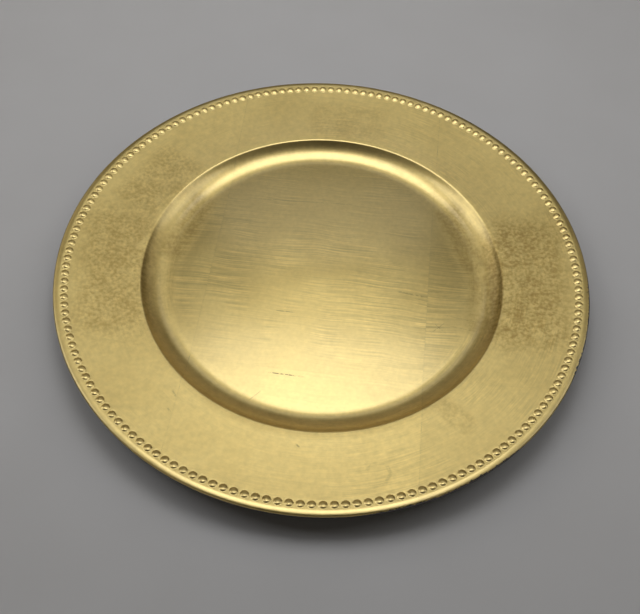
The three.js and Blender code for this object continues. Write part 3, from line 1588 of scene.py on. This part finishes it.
    def strokes(self, nodes: Nodes, point: LeafPoint) -> Socket:
        """Brush strokes, along the sheets on the floor and round the plate on the rim.

        Args:
            nodes: The material's nodes.
            point: The point.

        Returns:
            Height of the strokes, 0 to 1.
        """
        wander = nodes.noise(nodes.join(point.along, point.across), self.drift_per_mm, detail=1.0)
        floor = nodes.effect(
            self.effects.strokes,
            Along=point.along,
            Across=nodes.math("ADD", point.across, nodes.swing(wander, self.stroke_drift, 0.0)),
            Layer=nodes.times(point.sheet, self.stroke_layers),
            Length=self.floor_brushing.length,
            Width=self.floor_brushing.width,
        )
        lengths_round = self.section.outer_radius / MM / self.rim_brushing.length
        cosine, sine, _ = nodes.split(point.outward)
        rim = nodes.effect(
            self.effects.strokes,
            Along=cosine,
            Across=point.radius,
            Layer=nodes.times(sine, lengths_round),
            Length=1 / lengths_round,
            Width=self.rim_brushing.width,
        )
        return nodes.blend(point.on_rim, floor, rim)

    def shade(self, nodes: Nodes, point: LeafPoint, strokes: Socket) -> Socket:
        """How light the leaf is: sheet by sheet, along the strokes and in its grain.

        Args:
            nodes: The material's nodes.
            point: The point.
            strokes: Height of the strokes.

        Returns:
            A number about 1.
        """
        seam = self.lay.column_seams()[1] / MM
        right = Fade(seam - self.right_edge, seam + self.right_edge, 1.0, self.right_column)
        floor_brushed = nodes.times(
            self.near_strokes.lay(nodes, point.across), self.far_strokes.lay(nodes, point.across)
        )
        rim_brushed = self.rim_strokes.lay(nodes, point.x)
        passes = self.brush_passes.lay(nodes, self.effects, point.place)
        brushed = nodes.times(
            nodes.blend(point.on_rim, floor_brushed, rim_brushed),
            self.pass_strength.lay(nodes, passes),
        )
        grain = self.grain.lay(nodes, self.effects, point.place)
        grained = nodes.blend(point.on_rim, self.floor_grain, self.rim_grain)
        return nodes.times(
            right.lay(nodes, point.along),
            nodes.swing(point.sheet, self.sheet_swing),
            nodes.swing(strokes, brushed),
            nodes.swing(grain, grained),
        )

    def darkness(self, nodes: Nodes, point: LeafPoint) -> Socket:
        """Scratches and laps, broken up as they are where a brush has gone over them.

        Args:
            nodes: The material's nodes.
            point: The point.

        Returns:
            How much darker they make the leaf, 0 to 1.
        """
        scratched = self.marked(nodes, point, self.scratches)
        lapped = nodes.times(point.lap, self.lap_darkness)
        breaks = self.breaks.lay(nodes, self.effects, point.place)
        return nodes.times(nodes.most(scratched, lapped), self.break_edge.lay(nodes, breaks))

    def tarnish_and_shade(self, nodes: Nodes, point: LeafPoint, cove: Socket) -> Socket:
        """Share of brown tarnish and painted shade: blotches that are few on the whole and many in
        the tarnish zones and the cove's painted shade.

        Args:
            nodes: The material's nodes.
            point: The point.
            cove: Mask of the stretches of the cove that are browned and darkened as painted shade.

        Returns:
            A share, 0 to 1.
        """
        zones = nodes.most(
            self.marked(nodes, point, self.tarnish_and_shade_zones),
            nodes.times(cove, self.cove_painted_browning),
            self.stray_blotches,
        )
        blotches = self.blotches.lay(nodes, self.effects, point.place)
        mottle = self.mottle.lay(nodes, self.effects, point.place)
        spots = nodes.blend(self.mottle_share, blotches, mottle)
        return nodes.times(self.spot_edge.lay(nodes, spots), zones)

    def marked(self, nodes: Nodes, point: LeafPoint, marks: tuple[Mark, ...]) -> Socket:
        """Mask of a number of marks in the leaf: the strongest of them at the point."""
        return nodes.most(*(mark.lay(nodes, self.effects, point.flat) for mark in marks))

    def lip_wear_and_shade(self, nodes: Nodes, point: LeafPoint) -> tuple[Socket, Socket]:
        """Finds where the leaf ends on the lip's outer edge, and where it is chipped away.

        Args:
            nodes: The material's nodes.
            point: The point.

        Returns:
            A mask of the lip, darkened partly as rubbed leaf and partly as painted shade, and a
            mask of the black plastic.
        """
        worn = nodes.most(*(arc.lay(nodes, point.outward) for arc in self.worn_arcs))
        edge = self.section.lip_edge
        start = edge.at_slope(edge.from_slope, self.lay.top)
        end = edge.at_slope(edge.to_slope, self.lay.top)
        way_round = (end.radius - start.radius + start.height - end.height) / MM
        outward = nodes.math("SUBTRACT", point.radius, start.radius / MM)
        way = nodes.math("ADD", outward, nodes.math("SUBTRACT", start.height / MM, point.z))
        chips = nodes.noise(point.place, self.chips_per_mm, self.chip_detail, self.chip_roughness)
        ragged = nodes.swing(chips, nodes.blend(worn, self.whole_chips, self.worn_chips), 0.0)
        line = nodes.blend(worn, self.whole_edge * way_round, self.worn_edge * way_round)
        past = nodes.math("SUBTRACT", way, nodes.math("ADD", line, ragged))
        return self.lip_start.lay(nodes, way), self.leaf_end.lay(nodes, past)

    def relief(self, nodes: Nodes, point: LeafPoint, strokes: Socket) -> Socket:
        """The fine relief of strokes and wrinkles.

        Args:
            nodes: The material's nodes.
            point: The point.
            strokes: Height of the strokes.

        Returns:
            The surface's direction.
        """
        stroke_depth = nodes.blend(point.on_rim, self.floor_brushing.depth, self.rim_brushing.depth)
        wrinkle_depth = nodes.blend(point.on_rim, self.floor_wrinkles, self.rim_wrinkles)
        wrinkles = nodes.times(self.wrinkles.lay(nodes, self.effects, point.place), wrinkle_depth)
        return nodes.bump(nodes.math("MULTIPLY_ADD", strokes, stroke_depth, wrinkles))


@dataclass(frozen=True)
class PlasticFinish:
    """Black moulded plastic with a soft sheen, scuffed where it stands; lengths in millimetres."""

    effects: Effects
    tone: Colour = (0.012, 0.01, 0.009, 1)
    scuffed: Colour = (0.05, 0.048, 0.045, 1)
    roughness: float = 0.36
    scuff_roughness: float = 0.2
    sheen: Cloud = Cloud(30, 1.8)
    sheen_swing: float = 0.14
    grain: Cloud = Cloud(0.7, 1.5)
    grain_depth: float = 0.006
    rub_length: float = 12
    rub_width: float = 0.5
    rub_edge: Fade = Fade(0.45, 0.6)
    standing: Fade = Fade(0.05, 0.4, 1.0, 0.0)
    dust_size: float = 1.2
    dust_share: float = 0.25
    dust_strength: float = 0.25

    def build(self) -> Material:
        """Makes the material.

        Returns:
            The material.
        """
        material, nodes, shader = new_material("black_plastic")
        place = nodes.millimetres()
        x, y, z = nodes.split(place)
        sheen = self.sheen.lay(nodes, self.effects, place)
        grain = self.grain.lay(nodes, self.effects, place)
        rubs = nodes.effect(
            self.effects.strokes,
            Along=x,
            Across=y,
            Layer=0.0,
            Length=self.rub_length,
            Width=self.rub_width,
        )
        dust = nodes.effect(
            self.effects.flecks, Place=place, Size=self.dust_size, Share=self.dust_share
        )
        scuff = nodes.most(
            nodes.times(self.standing.lay(nodes, z), self.rub_edge.lay(nodes, rubs)),
            nodes.times(dust, self.dust_strength),
        )
        rough = nodes.swing(sheen, self.sheen_swing, self.roughness)
        nodes.feed_named(
            shader,
            Base_Color=nodes.tint(scuff, self.tone, self.scuffed),
            Roughness=nodes.math("MULTIPLY_ADD", scuff, self.scuff_roughness, rough),
            Normal=nodes.bump(nodes.times(grain, self.grain_depth)),
        )
        return material


@dataclass(frozen=True)
class TableFinish:
    """Plain pale grey table top; lengths in millimetres."""

    effects: Effects
    tone: Colour = (0.68, 0.68, 0.695, 1)
    shade: Colour = (0.65, 0.648, 0.658, 1)
    roughness: float = 0.65
    smoothest: float = 0.6
    mottle: Cloud = Cloud(60, 1.5)
    speck_size: float = 2.0
    speck_share: float = 0.3

    def build(self) -> Material:
        """Makes the material.

        Returns:
            The material.
        """
        material, nodes, shader = new_material("table_top")
        place = nodes.millimetres()
        mottle = self.mottle.lay(nodes, self.effects, place)
        specks = nodes.effect(
            self.effects.flecks, Place=place, Size=self.speck_size, Share=self.speck_share
        )
        nodes.feed_named(
            shader,
            Base_Color=nodes.tint(nodes.most(mottle, specks), self.tone, self.shade),
            Roughness=nodes.blend(mottle, self.smoothest, self.roughness),
        )
        return material


@dataclass(frozen=True)
class ViewPoint:
    """The camera, from the photograph's angle.

    Attributes:
        elevation: Angle of its place above the table, seen from the plate.
        distance: Its distance from the middle of the rim's outline.
        roll: Turn about the way that it looks.
        target: The point that it looks at, on the level of the outline.
        outline_height: Height of the rim's outline above the table.
        lens_mm: Focal length.
        sensor_mm: Width of the sensor.
    """

    elevation: float = math.radians(52.52)
    distance: float = 528.9 * MM
    roll: float = math.radians(2.6)
    target: tuple[float, float] = (-0.5 * MM, -33.9 * MM)
    outline_height: float = 17.9 * MM
    lens_mm: float = 47.63
    sensor_mm: float = 36

    def build(self) -> None:
        """Places the camera and makes it the scene's own."""
        data = bpy.data.cameras.new("camera")
        data.lens = self.lens_mm
        data.sensor_width = self.sensor_mm
        camera = bpy.data.objects.new("camera", data)
        bpy.context.scene.collection.objects.link(camera)
        eye = Vector((
            0,
            -self.distance * math.cos(self.elevation),
            self.distance * math.sin(self.elevation) + self.outline_height,
        ))
        look = Vector((*self.target, self.outline_height)) - eye
        aim = look.to_track_quat("-Z", "Y").to_matrix() @ Matrix.Rotation(self.roll, 3, "Z")
        camera.matrix_world = Matrix.Translation(eye) @ aim.to_4x4()
        bpy.context.scene.camera = camera


class LampTone(Enum):
    """Colours of the lamps."""

    WHITE = (1, 1, 1)
    CREAM = (1, 0.9, 0.75)
    STRAW = (1, 0.86, 0.64)
    AMBER = (1, 0.82, 0.55)


@dataclass(frozen=True)
class Lamp:
    """A soft rectangular lamp, aimed at the plate or hung level.

    Attributes:
        name: Its name.
        place: Where it hangs.
        width: Its width.
        depth: Its depth.
        brightness: Light that its face gives off, whatever its size.
        tone: Its colour.
        level: Whether it faces straight down and not towards the plate.
        gloss_only: Whether it only shows in glossy surfaces and lights nothing else.
    """

    name: str
    place: Triple
    width: float
    depth: float
    brightness: float
    tone: LampTone = LampTone.WHITE
    level: bool = False
    gloss_only: bool = False

    def build(self) -> None:
        """Hangs the lamp."""
        data = bpy.data.lights.new(self.name, "AREA")
        data.shape = "RECTANGLE"
        data.size = self.width
        data.size_y = self.depth
        data.color = self.tone.value
        data.energy = self.brightness * math.pi * self.width * self.depth
        lamp = bpy.data.objects.new(self.name, data)
        bpy.context.scene.collection.objects.link(lamp)
        lamp.location = self.place
        lamp.visible_diffuse = not self.gloss_only
        if not self.level:
            lamp.rotation_euler = (-Vector(self.place)).to_track_quat("-Z", "Y").to_euler()


@dataclass(frozen=True)
class Studio:
    """Table, lamps, surrounding light and camera."""

    effects: Effects
    table_size: float = 30.0
    world_tone: Colour = (1, 0.92, 0.78, 1)
    world_level: float = 0.03
    lamps: tuple[Lamp, ...] = (
        Lamp("overhead", (0.0, 0.205, 0.7), 0.4, 0.36, 2.45, level=True),
        Lamp("left_wing", (-0.4, 0.2, 0.7), 0.4, 0.4, 0.32, level=True),
        Lamp("right_wing", (0.4, 0.2, 0.7), 0.4, 0.4, 0.32, level=True),
        Lamp("behind", (0.0, 0.66, 0.7), 0.4, 0.2, 0.75, level=True),
        Lamp("far_side", (0.0, 1.6, 0.45), 2.0, 0.8, 0.21, LampTone.AMBER),
        Lamp("near_side", (0.0, -1.6, 0.45), 3.0, 0.8, 0.22, LampTone.CREAM),
        Lamp("near_left", (-1.3, -1.1, 0.7), 1.7, 1.2, 0.3, LampTone.CREAM, gloss_only=True),
        Lamp("near_right", (1.3, -1.1, 0.7), 1.7, 1.2, 0.3, LampTone.CREAM, gloss_only=True),
        Lamp("far_left", (-0.9, 0.9, 0.9), 0.6, 0.6, 0.56, LampTone.STRAW),
        Lamp("far_right", (0.9, 0.9, 0.9), 0.6, 0.6, 0.28, LampTone.STRAW),
        Lamp("high_left", (-0.9, 0.2, 0.9), 0.6, 0.8, 1.5),
        Lamp("high_right", (0.9, 0.2, 0.9), 0.6, 0.8, 1.0),
    )
    view_point: ViewPoint = field(default_factory=ViewPoint)

    def lay_table(self) -> None:
        """Lays the table top under the plate."""
        deselect_all()
        bpy.ops.mesh.primitive_plane_add(size=self.table_size, location=(0, 0, 0))
        table = bpy.context.view_layer.objects.active
        table.name = "table_top"
        table.data.materials.append(TableFinish(self.effects).build())

    def light_surroundings(self) -> None:
        """Sets the faint light that comes from all sides."""
        world = bpy.data.worlds.new("studio")
        bpy.context.scene.world = world
        world.use_nodes = True
        background = world.node_tree.nodes["Background"]
        background.inputs["Color"].default_value = self.world_tone
        background.inputs["Strength"].default_value = self.world_level

    def build(self) -> None:
        """Sets the stage."""
        self.lay_table()
        for lamp in self.lamps:
            lamp.build()
        self.light_surroundings()
        self.view_point.build()
        bpy.context.scene.view_settings.view_transform = "Standard"


def main() -> None:
    """Builds the plate, dresses it and sets the stage."""
    logging.basicConfig(level=logging.INFO, format="%(name)s: %(message)s")
    effects = Effects()
    lay = LeafLay()
    section = Section(outer_radius=PLATE_RADIUS - lay.top)
    beads = BeadRing()
    moulding = Moulding(section, beads.cores(lay.gap))
    moulding.dress(moulding.build(), PlasticFinish(effects).build())
    cover = LeafCover(PlateFace(section, beads), lay)
    cover.dress(cover.build(), LeafFinish(effects, lay, section).build())
    Studio(effects).build()


if __name__ == "__main__":
    main()
